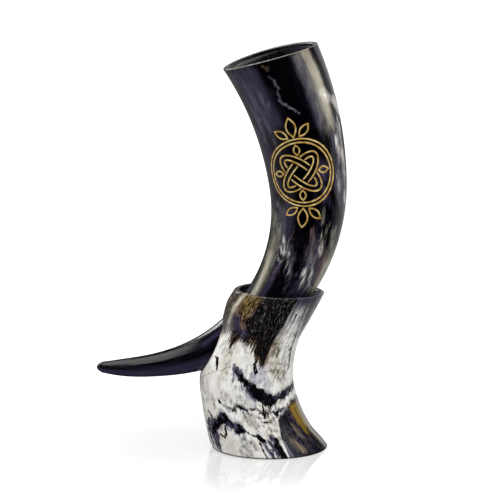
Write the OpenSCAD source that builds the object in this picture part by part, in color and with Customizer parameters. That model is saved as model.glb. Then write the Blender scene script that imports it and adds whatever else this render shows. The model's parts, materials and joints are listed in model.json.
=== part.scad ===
/* [Horn] */
// Outer radius of the horn at its mouth
mouth_r = 34.8; // [34:0.2:36]
// Thickness of the wall at the mouth
mouth_wall = 3.2; // [2.6:0.2:4]
// Depth of the hollow, along the centre line
cup_depth = 214; // [206:1:220]
// Slant of the mouth's edge against a square cut, in degrees
mouth_slant = 12.5; // [0:0.5:14]
// Thickness of the sealing film inside the hollow
film = 0.4; // [0.3:0.05:0.6]

/* [Bend] */
// Radius of the main bend, which is the path along which the horn is drawn out
bend_r = 126.8; // [125:0.2:128]
// Height of the main bend's centre above the table
bend_z = 188.2; // [187:0.2:190]
// Distance of the main bend's centre to the left of the foot's centre
bend_back = 98.8; // [98:0.2:100]
// Direction of the main bend's upper end, in degrees above level
bend_start = 4.6; // [2:0.2:8]
// Length of the main bend
bend_length = 182.6; // [176:0.2:188]
// Radius of the gentler bend below the mouth
upper_bend_r = 245; // [220:5:400]
// Length of the bend below the mouth
upper_length = 100.5; // [96:0.5:105]
// Radius of the gentler bend near the tip
tip_bend_r = 195; // [180:5:260]
// Length of the bend near the tip
tip_length = 57; // [50:1:62]

/* [Ornament] */
// Distance of the ornament's centre below the mouth
ornament_s = 87; // [82:1:92]
// Turn of the ornament from the front towards the outside of the bend, in degrees
ornament_turn = -9; // [-15:1:10]
// Radius of the outer ring
ring_r = 25.5; // [24:0.5:27]
// Space between the two rings' lines
ring_gap = 2.7; // [2.2:0.1:3.2]
// Width of a gold line
line_w = 1.2; // [0.9:0.1:1.4]
// Depth of an engraved line
line_depth = 0.6; // [0.4:0.1:0.9]

/* [Stand] */
// Height of the stand's rim
stand_h = 118.5; // [116:0.5:121]
// How much higher the rim stands on the left than on the right
rim_lift = 2.4; // [0:0.2:4]
// Thickness of the wall at the foot
foot_wall = 4; // [3:0.2:5]
// Thickness of the wall at the rim
rim_wall = 3.6; // [2.8:0.2:4]
// Gap round the horn in the hole in the stand's side
hole_gap = 1; // [0.8:0.1:1.6]
// How much more room the hole has at the front and at the back
hole_spread = 4.5; // [2:0.5:5]

/* [Hidden] */

// Facets round the horn and round the stand
horn_sides = 40;
stand_sides = 48;
// Rings along the horn, down the hollow and up the stand
horn_rings = 32;
cup_rings = 20;
stand_rings = 16;
// Rings lie closer together at the stand's foot
ring_growth = 1.15;
// Places of the rings on a rounded end, in degrees from its shoulder
nose_angles = [22.5, 45, 67.5, 84];
// Points round a ring line, along an edge of a band and along a leaf's side
ring_steps = 48;
oval_steps = 15;
leaf_steps = 7;

// Stations of the horn's outer radius: place along the centre line, radius
horn_length = upper_length + bend_length + tip_length;
nose_length = 6;
nose_s = horn_length - nose_length;
horn_profile = [
  [0, mouth_r],
  [66, 30.8],
  [131, 26.3],
  [201, 19.6],
  [256, 13],
  [291, 9.2],
  [319, 6.7],
  [nose_s, 4.5]
];

// Stations of the hollow's radius, which narrows faster than the outside
cup_nose = 9;
cup_nose_s = cup_depth - cup_nose;
film_top = 3;
rim_bevel = 0.9;
cup_profile = [
  [0, mouth_r - mouth_wall],
  [60, 27.6],
  [120, 22],
  [165, 15.6],
  [cup_nose_s, 8]
];

// Over this length the rings turn from the slanted mouth to square
slant_length = 70;

// Stations of the stand's outside: height, then left edge, right edge and half depth
stand_profile = [
  [0, [-42.9, 42.9, 40]],
  [5, [-45.2, 39, 38.8]],
  [15, [-47.4, 30.6, 37.2]],
  [32, [-50.4, 22.2, 35.2]],
  [54, [-52.2, 17.1, 33.2]],
  [80, [-43.4, 20.7, 31.4]],
  [97, [-35.5, 29.2, 30.4]],
  [109, [-32, 35.6, 29.8]],
  [stand_h, [-26.2, 40.3, 29.5]]
];

bend_end = bend_start - degrees(bend_length / bend_r);
bend_centre = [-bend_back, 0, bend_z];

// The hole follows the horn's own bend and taper between these places along the centre line
hole_first = 214;
hole_last = 286;
hole_rings = 12;

// Sizes inside the ornament: half lengths are along and across, leaves are length and half width
rising = 45;
falling = 135;
loop_half = [18.6, 8.6];
loop_band = 4;
loop_gap = 1.1;
petal = [7.5, 2.2];
petal_start = 13.4;
middle_leaf = [14.5, 3.5];
side_leaf = [11, 2.6];
side_leaf_turn = 50;
side_leaf_out = 4.4;
leaf_start = 1.9;
groove_top = 1;
gold_top = 0.05;

// The whole object is centred left to right over the origin
horn_x = [for (s = [0 : 2 : horn_length], turn = [0, 180]) horn_point(s, turn, horn_r(s))[0]];
shift = [-(min(horn_x) + max(horn_x)) / 2, 0, 0];

function degrees(radians) = radians * 180 / PI;

function unit(v) = v / norm(v);

// Slope of the smooth curve at station i
function slope(list, i) =
  let (a = max(i - 1, 0), b = min(i + 1, len(list) - 1))
  (list[b][1] - list[a][1]) / (list[b][0] - list[a][0]);

// Smooth curve through a list of stations
function along(list, s, i = 0) =
  i < len(list) - 2 && s > list[i + 1][0] ? along(list, s, i + 1) :
  let (
    span = list[i + 1][0] - list[i][0],
    t = (s - list[i][0]) / span,
    low = list[i][1],
    rise = list[i + 1][1] - low,
    start = slope(list, i) * span,
    end = slope(list, i + 1) * span
  )
  low + t * (start + t * (3 * rise - 2 * start - end + t * (start + end - 2 * rise)));

function horn_r(s) = along(horn_profile, s);
function cup_r(s) = along(cup_profile, s);

// Direction from the bend's centre to the centre line, in degrees above level
function bend_angle(s) =
  s < upper_length ? bend_start + degrees((upper_length - s) / upper_bend_r) :
  s < upper_length + bend_length ? bend_start - degrees((s - upper_length) / bend_r) :
  bend_end - degrees((s - upper_length - bend_length) / tip_bend_r);

function outward(angle) = [cos(angle), 0, sin(angle)];

// Centre line of the horn: three arcs that run into each other
function centre(s) =
  let (n = outward(bend_angle(s)))
  s < upper_length ? bend_centre + (bend_r - upper_bend_r) * outward(bend_start) + upper_bend_r * n :
  s < upper_length + bend_length ? bend_centre + bend_r * n :
  bend_centre + (bend_r - tip_bend_r) * outward(bend_end) + tip_bend_r * n;

// Point at a radius round the centre line; turn 0 is the outside of the bend and -90 the front
function horn_point(s, turn, r) = centre(s) + r * (cos(turn) * outward(bend_angle(s)) + [0, sin(turn), 0]);

function slide(s) = mouth_r * tan(mouth_slant) * pow(max(0, 1 - s / slant_length), 2);

// Ring of points on the horn's outside or in its hollow, slanted near the mouth
function horn_ring(s, inside = false, inset = 0) = [
  for (k = [0 : horn_sides - 1])
    let (turn = 360 * k / horn_sides, at = s + slide(s) * cos(turn))
    horn_point(at, turn, (inside ? cup_r(at) : horn_r(at)) - inset)
];

function round_ring(s, r) = [for (k = [0 : horn_sides - 1]) horn_point(s, 360 * k / horn_sides, r)];

// Rounded end of the horn or of its hollow, from its shoulder to its end
function nose_rings(s, length, r) = [
  for (angle = nose_angles) round_ring(s + length * sin(angle), r * cos(angle))
];

function steps(first, last, count) = [for (i = [0 : count]) first + (last - first) * i / count];

function reversed(list) = [for (i = [len(list) - 1 : -1 : 0]) list[i]];

// Rings of the hollow from just under the rim to its end, grown inwards by inset
function hollow(inset) = concat(
  [for (s = steps(film_top, cup_nose_s, cup_rings)) horn_ring(s, true, inset)],
  nose_rings(cup_nose_s, cup_nose - inset, cup_r(cup_nose_s) - inset)
);

// Skin over a row of rings, closed at its ends or joined into a loop
module skin(rings, loop = false) {
  rows = len(rings);
  sides = len(rings[0]);
  walls = [
    for (i = [0 : rows - (loop ? 1 : 2)], k = [0 : sides - 1])
      let (j = (i + 1) % rows, l = (k + 1) % sides)
      each [
        [i * sides + k, j * sides + l, i * sides + l],
        [i * sides + k, j * sides + k, j * sides + l]
      ]
  ];
  ends = loop ? [] : [
    [for (k = [0 : sides - 1]) k],
    [for (k = [sides - 1 : -1 : 0]) (rows - 1) * sides + k]
  ];
  polyhedron([for (ring = rings) each ring], concat(walls, ends));
}

// Point across and up from the ornament's centre, at a height over the horn's surface
function on_horn(place, height) =
  let (s = ornament_s - place[1], r = horn_r(s))
  horn_point(s, ornament_turn - 90 + degrees(place[0] / r), r + height);

function turned(place, angle) = [
  place[0] * cos(angle) - place[1] * sin(angle),
  place[0] * sin(angle) + place[1] * cos(angle)
];

function normal(from, to) = unit([from[1] - to[1], to[0] - from[0]]);

// Half a line's width at point i, square to the path or along the bisector of a corner
function half_line(path, i, loop) =
  let (
    last = len(path) - 1,
    here = path[i],
    before = i > 0 ? path[i - 1] : loop ? path[last] : 2 * path[0] - path[1],
    after = i < last ? path[i + 1] : loop ? path[0] : 2 * path[last] - path[last - 1],
    middle = unit(normal(before, here) + normal(here, after))
  )
  middle * line_w / 2 / (middle * normal(here, after));

// One engraved line, from the groove's floor to a height over the surface
module engraved(path, top, loop = false) {
  skin([
    for (i = [0 : len(path) - 1])
      let (half = half_line(path, i, loop))
      [
        on_horn(path[i] - half, -line_depth),
        on_horn(path[i] + half, -line_depth),
        on_horn(path[i] + half, top),
        on_horn(path[i] - half, top)
      ]
  ], loop);
}

function circle_path(r) = [
  for (k = [0 : ring_steps - 1]) let (angle = 360 * k / ring_steps) r * [cos(angle), sin(angle)]
];

// Pointed leaf of a length and half width, from its start along an angle from straight up
function leaf_path(size, start, angle) =
  let (
    side = [for (u = steps(0, 1, leaf_steps)) [4 * size[1] * u * (1 - u), size[0] * u]],
    back = [for (i = [leaf_steps - 1 : -1 : 1]) [-side[i][0], side[i][1]]]
  )
  [for (place = concat(side, back)) start + turned(place, -angle)];

// Angle on an oval at which it meets a second oval that lies square across it
function meeting(oval, across) =
  let (
    a = 1 / pow(oval[0], 2),
    b = 1 / pow(oval[1], 2),
    c = 1 / pow(across[1], 2),
    d = 1 / pow(across[0], 2),
    x = sqrt((b - d) / (b * c - a * d)),
    y = sqrt((c - a) / (b * c - a * d))
  )
  atan2(y / oval[1], x / oval[0]);

// Part of an oval line between two angles, turned about the ornament's centre
function oval_path(oval, first, last, turn) = [
  for (t = steps(first, last, oval_steps)) turned([oval[0] * cos(t), oval[1] * sin(t)], turn)
];

// Angle that leaves a clear gap beside the band that passes over
function clear(oval) = degrees(loop_gap / (oval[0] + oval[1]) * 2);

// Edge line of a band, between the lines of the other band that it comes out of and goes under
module edge_line(oval, from, to, turn, top) {
  first = meeting(oval, from) + clear(oval);
  last = meeting(oval, to) + 180 - clear(oval);
  engraved(oval_path(oval, first, last, turn), top);
}

// One band of the knot, broken where it passes under the other band
module loop_lines(turn, top) {
  outer = loop_half;
  inner = loop_half - [loop_band, loop_band];
  for (half_turn = [0, 180]) {
    edge_line(outer, inner, outer, turn + half_turn, top);
    edge_line(inner, inner, outer, turn + half_turn, top);
  }
}

module petal_lines(top) {
  for (angle = [0 : 90 : 270]) {
    engraved(leaf_path(petal, turned([0, petal_start], -angle), angle), top, true);
  }
}

// Three leaves that stand on the outer ring, over it or under it
module leaf_lines(angle, top) {
  foot = ring_r + leaf_start;
  engraved(leaf_path(middle_leaf, turned([0, foot], -angle), angle), top, true);
  for (side = [-1, 1]) {
    start = [side * side_leaf_out, sqrt(pow(foot, 2) - pow(side_leaf_out, 2))];
    engraved(leaf_path(side_leaf, turned(start, -angle), angle + side * side_leaf_turn), top, true);
  }
}

module outer_ring_line(top) {
  engraved(circle_path(ring_r), top, true);
}

module inner_ring_line(top) {
  engraved(circle_path(ring_r - ring_gap), top, true);
}

module horn_shell() {
  color([0.1, 0.09, 0.12])
    translate(shift)
      difference() {
        skin(concat(
          reversed(nose_rings(nose_s, nose_length, horn_r(nose_s))),
          reversed([for (s = steps(rim_bevel, nose_s, horn_rings)) horn_ring(s)]),
          [horn_ring(0, false, rim_bevel), horn_ring(0, true, -rim_bevel), horn_ring(rim_bevel, true)],
          hollow(0)
        ));
        outer_ring_line(groove_top);
        inner_ring_line(groove_top);
        loop_lines(rising, groove_top);
        loop_lines(falling, groove_top);
        petal_lines(groove_top);
        leaf_lines(0, groove_top);
        leaf_lines(180, groove_top);
      }
}

module cup_lining() {
  color([0.24, 0.15, 0.09])
    translate(shift)
      skin(concat(reversed(hollow(0)), hollow(film)));
}

module gold() {
  color([0.84, 0.62, 0.2])
    translate(shift)
      children();
}

module inlay_outer_ring() {
  gold() outer_ring_line(gold_top);
}

module inlay_inner_ring() {
  gold() inner_ring_line(gold_top);
}

module inlay_rising_loop() {
  gold() loop_lines(rising, gold_top);
}

module inlay_falling_loop() {
  gold() loop_lines(falling, gold_top);
}

module inlay_petals() {
  gold() petal_lines(gold_top);
}

module inlay_upper_leaves() {
  gold() leaf_lines(0, gold_top);
}

module inlay_lower_leaves() {
  gold() leaf_lines(180, gold_top);
}

// Ring of the stand at a height, set in for the inside, level at the foot and lifted at the rim
function stand_ring(z, inset) =
  let (
    edges = along(stand_profile, z),
    middle = (edges[0] + edges[1]) / 2,
    half = (edges[1] - edges[0]) / 2,
    lift = rim_lift / 2 * pow(z / stand_h, 3)
  )
  [
    for (k = [0 : stand_sides - 1])
      let (turn = 360 * k / stand_sides)
      [middle + (half - inset) * cos(turn), (edges[2] - inset) * sin(turn), z - lift * cos(turn)]
  ];

function stand_wall(z) = foot_wall + (rim_wall - foot_wall) * z / stand_h;

module stand_shell() {
  heights = [for (step = steps(0, 1, stand_rings)) (stand_h - rim_bevel) * pow(step, ring_growth)];
  color([0.8, 0.77, 0.7])
    translate(shift)
      difference() {
        skin(concat(
          [for (z = heights) stand_ring(z, 0)],
          [stand_ring(stand_h, rim_bevel), stand_ring(stand_h, rim_wall - rim_bevel)],
          reversed([for (z = heights) stand_ring(z, stand_wall(z))])
        ), true);
        tip_hole();
      }
}

// Hole through the left wall, a little wider than the horn that passes through it
module tip_hole() {
  skin([for (s = steps(hole_last, hole_first, hole_rings)) hole_ring(s, horn_r(s) + hole_gap)]);
}

function hole_ring(s, r) = [
  for (k = [0 : horn_sides - 1])
    let (turn = 360 * k / horn_sides)
    horn_point(s, turn, r) + [0, hole_spread * sin(turn), 0]
];

horn_shell();
cup_lining();
inlay_outer_ring();
inlay_inner_ring();
inlay_rising_loop();
inlay_falling_loop();
inlay_petals();
inlay_upper_leaves();
inlay_lower_leaves();
stand_shell();
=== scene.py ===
import json
import math
from functools import reduce

import bmesh
import bpy
from mathutils import Matrix, Vector


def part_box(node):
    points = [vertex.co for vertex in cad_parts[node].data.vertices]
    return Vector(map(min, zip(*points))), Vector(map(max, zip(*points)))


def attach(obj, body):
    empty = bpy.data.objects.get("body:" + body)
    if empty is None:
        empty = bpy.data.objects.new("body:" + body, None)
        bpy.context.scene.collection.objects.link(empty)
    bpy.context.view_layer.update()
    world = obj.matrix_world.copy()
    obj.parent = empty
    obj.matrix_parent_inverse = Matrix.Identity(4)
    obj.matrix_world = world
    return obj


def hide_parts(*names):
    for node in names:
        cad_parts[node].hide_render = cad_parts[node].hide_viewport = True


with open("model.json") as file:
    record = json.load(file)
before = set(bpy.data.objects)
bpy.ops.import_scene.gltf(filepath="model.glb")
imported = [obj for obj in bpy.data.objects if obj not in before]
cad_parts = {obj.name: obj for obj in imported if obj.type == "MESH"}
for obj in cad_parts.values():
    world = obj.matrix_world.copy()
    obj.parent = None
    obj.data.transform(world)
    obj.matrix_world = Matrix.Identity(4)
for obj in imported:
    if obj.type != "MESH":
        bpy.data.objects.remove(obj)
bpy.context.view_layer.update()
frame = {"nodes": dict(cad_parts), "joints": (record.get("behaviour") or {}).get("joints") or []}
scene = bpy.context.scene
print("frame loaded:", ", ".join(sorted(frame["nodes"])))


# Mesh helpers

def smoothCurve(stations, at):  # cubic through given stations, like a spline ruler
    last = len(stations) - 1
    i = 0
    while i < last - 1 and at > stations[i + 1][0]:
        i += 1

    def slope(k):
        before, after = stations[max(k - 1, 0)], stations[min(k + 1, last)]
        return (after[1] - before[1]) / (after[0] - before[0])

    span = stations[i + 1][0] - stations[i][0]
    t = (at - stations[i][0]) / span
    low = stations[i][1]
    rise = stations[i + 1][1] - low
    start, end = slope(i) * span, slope(i + 1) * span
    return low + (start + (rise * 3 - start * 2 - end + (start + end - rise * 2) * t) * t) * t


def evenSteps(first, last, step):  # values from first to last, about a step apart
    count = max(1, round(abs(last - first) / step))
    return [first + (last - first) * i / count for i in range(count + 1)]


def quarterTurn(count):  # angles of a rounded edge
    return [math.pi / 2 * i / count for i in range(count + 1)]


def onlyVerts(geom):
    return [part for part in geom if isinstance(part, bmesh.types.BMVert)]


def vertsOf(edges):  # each once, in the edges' order
    return list(dict.fromkeys(vert for edge in edges for vert in edge.verts))


def growEdges(bm, edges, place):  # extrudes a run of edges, then puts each new vertex
    grown = bmesh.ops.extrude_edge_only(bm, edges=edges)["geom"]
    verts = onlyVerts(grown)
    for vert in verts:
        place(vert)
    fresh = set(verts)
    return [part for part in grown if isinstance(part, bmesh.types.BMEdge) and fresh.issuperset(part.verts)]


def turnOf(vert, grain):
    return math.atan2(vert[grain].y, vert[grain].x)


def newShell(segments, capped):  # a ring whose vertices know their turn, with the layers that materials read
    bm = bmesh.new()
    grain = bm.verts.layers.float_vector.new("grain")
    bm.verts.layers.float.new("depth")
    bmesh.ops.create_circle(bm, cap_ends=capped, cap_tris=capped, segments=segments, radius=1)
    for vert in bm.verts:
        vert[grain] = vert.co
    ring = [edge for edge in bm.edges if all(vert.co.length > 0.5 for vert in edge.verts)]
    return bm, ring


def ringPlacer(bm, pointAt):  # pointAt(turn) gives a point, its place along the grain and its wall depth
    grain = bm.verts.layers.float_vector["grain"]
    depth = bm.verts.layers.float["depth"]

    def place(vert):
        turn = turnOf(vert, grain)
        vert.co, along, vert[depth] = pointAt(turn)
        vert[grain] = (math.cos(turn), math.sin(turn), along)

    return place


def closeRing(bm, ring):  # caps a small ring with a fan
    faces = bmesh.ops.contextual_create(bm, geom=ring)["faces"]
    bmesh.ops.poke(bm, faces=faces)


def sweepRings(bm, ring, rings):  # puts the first ring, then grows the others from it
    place = ringPlacer(bm, rings[0])
    ringVerts = vertsOf(ring)
    for vert in ringVerts:
        place(vert)
    grain = bm.verts.layers.float_vector["grain"]
    for vert in set(bm.verts).difference(ringVerts):  # the middle of the cap
        vert.co = sum((other.co for other in ringVerts), Vector()) / len(ringVerts)
        vert[grain] = ringVerts[0][grain]
    for pointAt in rings[1:]:
        ring = growEdges(bm, ring, ringPlacer(bm, pointAt))
    return ring


def makePiece(bm, name, material, body, slotName, *nodes):
    bmesh.ops.recalc_face_normals(bm, faces=bm.faces)
    mesh = bpy.data.meshes.new(name)
    bm.to_mesh(mesh)
    bm.free()
    mesh.shade_smooth()
    mesh.materials.append(material)
    piece = bpy.data.objects.new(name, mesh)
    scene.collection.objects.link(piece)
    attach(piece, body)
    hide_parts(*nodes)
    print(name, len(mesh.polygons), "faces")


# Node helpers

def paint(red, green, blue):  # screen colour, 0 to 255, as the linear value that sockets take
    def linear(value):
        value /= 255
        return value / 12.92 if value <= 0.04045 else ((value + 0.055) / 1.055) ** 2.4
    return (linear(red), linear(green), linear(blue), 1)


class Value:  # a node's output, whose sums, products and fades add nodes to its tree
    def __init__(self, socket):
        self.socket = socket
        self.tree = socket.id_data

    def calc(self, operation, *others):
        return made(self.tree, "Math", [self, *others], operation=operation)

    def __add__(self, other):
        return self.calc("ADD", other)

    def __sub__(self, other):
        return self.calc("SUBTRACT", other)

    def __rsub__(self, other):
        return made(self.tree, "Math", [other, self], operation="SUBTRACT")

    def __mul__(self, other):
        return self.calc("MULTIPLY", other)

    def timesPlus(self, factor, other):
        return self.calc("MULTIPLY_ADD", factor, other)

    def fade(self, low, high, top=1):  # smooth 0 to top as the value goes from low to high
        inputs = {0: self, 1: low, 2: high, 4: top}
        return made(self.tree, "MapRange", inputs, interpolation_type="SMOOTHSTEP", clamp=False)

    def partly(self, least):  # keeps at least a share where the value is 0
        return self.timesPlus(1 - least, least)


def plug(socket, value):
    if isinstance(value, Value):
        socket.id_data.links.new(value.socket, socket)
    else:
        socket.default_value = value


def addNode(tree, kind, inputs=(), **settings):
    node = tree.nodes.new("ShaderNode" + kind)
    for key, value in settings.items():
        setattr(node, key, value)
    for key, value in inputs.items() if isinstance(inputs, dict) else enumerate(inputs):
        plug(node.inputs[key], value)
    return node


def made(tree, kind, inputs=(), output=0, **settings):
    return Value(addNode(tree, kind, inputs, **settings).outputs[output])


def separate(vector):
    return [Value(socket) for socket in addNode(vector.tree, "SeparateXYZ", [vector]).outputs]


def product(values):
    return reduce(lambda total, value: total * value, values)


def most(*values):  # the largest of several masks
    return reduce(lambda total, value: total.calc("MAXIMUM", value), values)


def shifted(value, noise, amount):  # pushed up or down by a noise
    return (noise - 0.5).timesPlus(amount, value)


def tint(factor, first, second):
    return made(factor.tree, "Mix", {0: factor, 6: first, 7: second}, 2, data_type="RGBA")


def ramp(value, stops):  # colours over a value, each with its place
    node = addNode(value.tree, "ValToRGB", [value])
    spots = node.color_ramp.elements
    for spot, (place, colour) in ((spots[0], stops[0]), (spots[1], stops[-1])):
        spot.position, spot.color = place, colour
    for place, colour in stops[1:-1]:
        spots.new(place).color = colour
    return Value(node.outputs[0])


def lineOver(value, points):  # straight from point to point
    node = addNode(value.tree, "FloatCurve", {1: value})
    line = node.mapping.curves[0]
    while len(line.points) < len(points):
        line.points.new(0.5, 0.5)
    for spot, place in zip(line.points, points):
        spot.location = place
        spot.handle_type = "VECTOR"
    node.mapping.update()
    return Value(node.outputs[0])


def grainPlaces(tree):  # unit circle and place along the grain, then the turn from back to back, 0.5 in front
    vector = made(tree, "Attribute", output="Vector", attribute_name="grain")
    right, back, along = separate(vector)
    turn = right.calc("ARCTAN2", back * -1)
    return vector, turn.timesPlus(0.5 / math.pi, 0.5), along


def wallDepth(tree):  # 0 on the outer face of a wall, 1 on the inner
    return made(tree, "Attribute", output="Fac", attribute_name="depth")


def grainNoise(vector, scale, stretch, seed, detail=4, roughness=0.55):  # one unit is 30 mm across the grain
    places = [vector, (1, 1, 1 / (0.03 * stretch)), (seed, seed * 0.7, seed * 1.3)]
    spread = made(vector.tree, "VectorMath", places, operation="MULTIPLY_ADD")
    inputs = {"Vector": spread, "Scale": scale, "Detail": detail, "Roughness": roughness}
    return made(vector.tree, "TexNoise", inputs)


def strokeGroup():  # one stroke's mask, laid over the masks before it
    group = bpy.data.node_groups.new("stroke", "ShaderNodeTree")
    for name in ("place", "start", "way", "share"):
        group.interface.new_socket(name, in_out="INPUT", socket_type="NodeSocketVector")
    for name in ("outer", "inner", "strength", "before"):
        group.interface.new_socket(name, in_out="INPUT", socket_type="NodeSocketFloat")
    group.interface.new_socket("mask", in_out="OUTPUT", socket_type="NodeSocketFloat")
    sockets = group.nodes.new("NodeGroupInput").outputs
    place, start, way, share, outer, inner, strength, before = [Value(socket) for socket in sockets[:8]]
    away = made(group, "VectorMath", [place, start], operation="SUBTRACT")
    reach = made(group, "Clamp", [made(group, "VectorMath", [away, share], "Value", operation="DOT_PRODUCT")])
    nearest = made(group, "VectorMath", {0: way, "Scale": reach}, operation="SCALE")
    gap = made(group, "VectorMath", [away, nearest], "Value", operation="DISTANCE")
    plug(group.nodes.new("NodeGroupOutput").inputs[0], most(gap.fade(outer, inner, strength), before))
    return group


oneStroke = strokeGroup()


def strokePlace(side, along, wide):  # millimetres round and along
    return made(side.tree, "CombineXYZ", [side * wide, along * 1000])


def strokeMask(place, wide, strokes):  # full in a stroke's inner quarter, none past its edge
    total = 0
    for firstTurn, first, lastTurn, last, half, strength in strokes:
        start = Vector((firstTurn / 1000 * wide, first, 0))
        way = Vector((lastTurn / 1000 * wide, last, 0)) - start
        inputs = {"place": place, "start": start, "way": way, "share": way / way.length_squared,
                  "outer": half, "inner": half * 0.25, "strength": strength / 10, "before": total}
        total = made(place.tree, "Group", inputs, node_tree=oneStroke)
    return total


def newMaterial(name):
    material = bpy.data.materials.new(name)
    material.use_nodes = True
    return material, material.node_tree


def finishMaterial(material, settings, colour, smear, relief):  # roughness follows one noise, bump another
    shader = material.node_tree.nodes["Principled BSDF"]
    plug(shader.inputs["Base Color"], colour)
    for name, value in settings["shader"].items():
        shader.inputs[name].default_value = value
    plug(shader.inputs["Roughness"], made(smear.tree, "MapRange", [smear, *settings["smear"]]))
    strength, distance = settings["bump"]
    bump = made(relief.tree, "Bump", {"Strength": strength, "Distance": distance, "Height": relief})
    plug(shader.inputs["Normal"], bump)
    return material


# Lining finish

lining = {
    "top": 0.003,
    "film": 0.0004,
    "bite": 0.00004,  # sunk into the wall behind it
    "feather": 0.006,
    "edge": [(0.0003, 0.55), (0.003, 0.9)],  # below the top, then share of the film
    "streaks": (12, 9, 6.1),
    "black": paint(5, 4, 6),
    "soot": paint(20, 17, 20),
    "pale": paint(74, 72, 74),
    "dim": paint(52, 47, 60),
    "shader": {"Specular IOR Level": 0.3},
    "smear": (0.3, 0.7, 0.18, 0.32),
    "bump": (0.3, 0.0004),
}


def filmColour(vector, side):  # inside of the cup, paler where it faces the light
    streaks = grainNoise(vector, *lining["streaks"])
    colour = tint(streaks.fade(0.4, 0.7), lining["black"], lining["soot"])
    colour = tint(side.fade(0.06, 0.21) * side.fade(0.45, 0.30, 0.9), colour, lining["pale"])
    return tint(side.fade(0.98, 0.88) * side.fade(0.60, 0.72, 0.8), colour, lining["dim"]), streaks


def liningMaterial():
    material, tree = newMaterial("sealingFilm")
    vector, side = grainPlaces(tree)[:2]
    colour, streaks = filmColour(vector, side)
    return finishMaterial(material, lining, colour, streaks, streaks)


# Dark horn finish

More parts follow.
